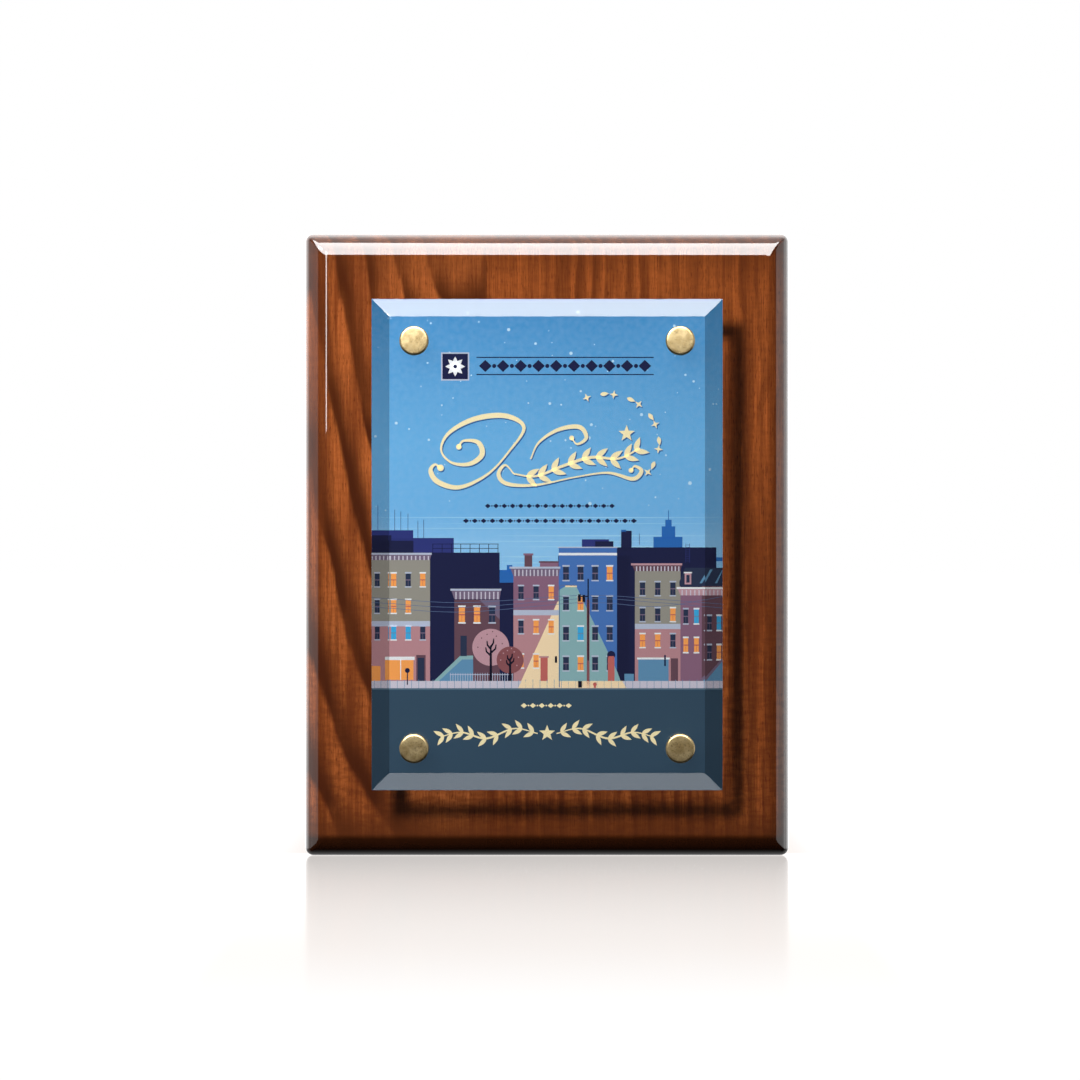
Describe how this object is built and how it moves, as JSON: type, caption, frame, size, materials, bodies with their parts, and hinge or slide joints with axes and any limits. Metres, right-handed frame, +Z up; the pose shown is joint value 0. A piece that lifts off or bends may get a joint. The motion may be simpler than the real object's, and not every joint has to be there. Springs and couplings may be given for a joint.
{
  "type": "wall plaque",
  "caption": "Portrait wall plaque: a moulded gloss walnut board with a bevelled clear plate that floats in front of it on brass screw posts.",
  "frame": {"origin": "centre of the board's flat back face, where it lies on the wall", "axes": "+X to the right seen from the front, the front faces -Y, +Y points out of the back towards the wall, +Z up"},
  "size_m": [0.1778, 0.0421, 0.2286],
  "materials": {
    "walnut": "high-gloss clear lacquer",
    "clear_plate": "clear polished acrylic",
    "picture": "satin printed film",
    "brass": "satin brushed",
    "washer": "translucent soft nylon",
    "dowel_screw": "zinc plated",
    "hanger": "brass-plated pressed steel",
    "hanger_screw": "brass-plated steel"
  },
  "bodies": {
    "plaque": {"stave_left": "walnut", "stave_right": "walnut", "clear_plate": "clear_plate", "picture_film": "picture", "hanger_plate": "hanger", "hanger_screw_top": "hanger_screw", "hanger_screw_bottom": "hanger_screw", "post_top_left": "brass", "dowel_screw_top_left": "dowel_screw", "rear_washer_top_left": "washer", "post_top_right": "brass", "dowel_screw_top_right": "dowel_screw", "rear_washer_top_right": "washer", "post_bottom_left": "brass", "dowel_screw_bottom_left": "dowel_screw", "rear_washer_bottom_left": "washer", "post_bottom_right": "brass", "dowel_screw_bottom_right": "dowel_screw", "rear_washer_bottom_right": "washer"},
    "washer_top_left": {"front_washer_top_left": "washer"},
    "cap_top_left": {"cap_top_left": "brass"},
    "washer_top_right": {"front_washer_top_right": "washer"},
    "cap_top_right": {"cap_top_right": "brass"},
    "washer_bottom_left": {"front_washer_bottom_left": "washer"},
    "cap_bottom_left": {"cap_bottom_left": "brass"},
    "washer_bottom_right": {"front_washer_bottom_right": "washer"},
    "cap_bottom_right": {"cap_bottom_right": "brass"}
  },
  "joints": [
    {"name": "cap_top_left_travel", "type": "slide", "parent": "plaque", "child": "washer_top_left", "axis": [0, -1, 0], "range_m": [0, 0.0056]},
    {"name": "cap_top_left_turn", "type": "hinge", "parent": "washer_top_left", "child": "cap_top_left", "pos_m": [-0.048, -0.0385, 0.0735], "axis": [0, -1, 0], "range_deg": [0, 2520]},
    {"name": "cap_top_right_travel", "type": "slide", "parent": "plaque", "child": "washer_top_right", "axis": [0, -1, 0], "range_m": [0, 0.0056]},
    {"name": "cap_top_right_turn", "type": "hinge", "parent": "washer_top_right", "child": "cap_top_right", "pos_m": [0.048, -0.0385, 0.0735], "axis": [0, -1, 0], "range_deg": [0, 2520]},
    {"name": "cap_bottom_left_travel", "type": "slide", "parent": "plaque", "child": "washer_bottom_left", "axis": [0, -1, 0], "range_m": [0, 0.0056]},
    {"name": "cap_bottom_left_turn", "type": "hinge", "parent": "washer_bottom_left", "child": "cap_bottom_left", "pos_m": [-0.048, -0.0385, -0.0735], "axis": [0, -1, 0], "range_deg": [0, 2520]},
    {"name": "cap_bottom_right_travel", "type": "slide", "parent": "plaque", "child": "washer_bottom_right", "axis": [0, -1, 0], "range_m": [0, 0.0056]},
    {"name": "cap_bottom_right_turn", "type": "hinge", "parent": "washer_bottom_right", "child": "cap_bottom_right", "pos_m": [0.048, -0.0385, -0.0735], "axis": [0, -1, 0], "range_deg": [0, 2520]}
  ],
  "couplings": [
    {"joint": "cap_top_left_turn", "follows": "cap_top_left_travel", "rad_per_m": 7854},
    {"joint": "cap_top_right_turn", "follows": "cap_top_right_travel", "rad_per_m": 7854},
    {"joint": "cap_bottom_left_turn", "follows": "cap_bottom_left_travel", "rad_per_m": 7854},
    {"joint": "cap_bottom_right_turn", "follows": "cap_bottom_right_travel", "rad_per_m": 7854}
  ]
}
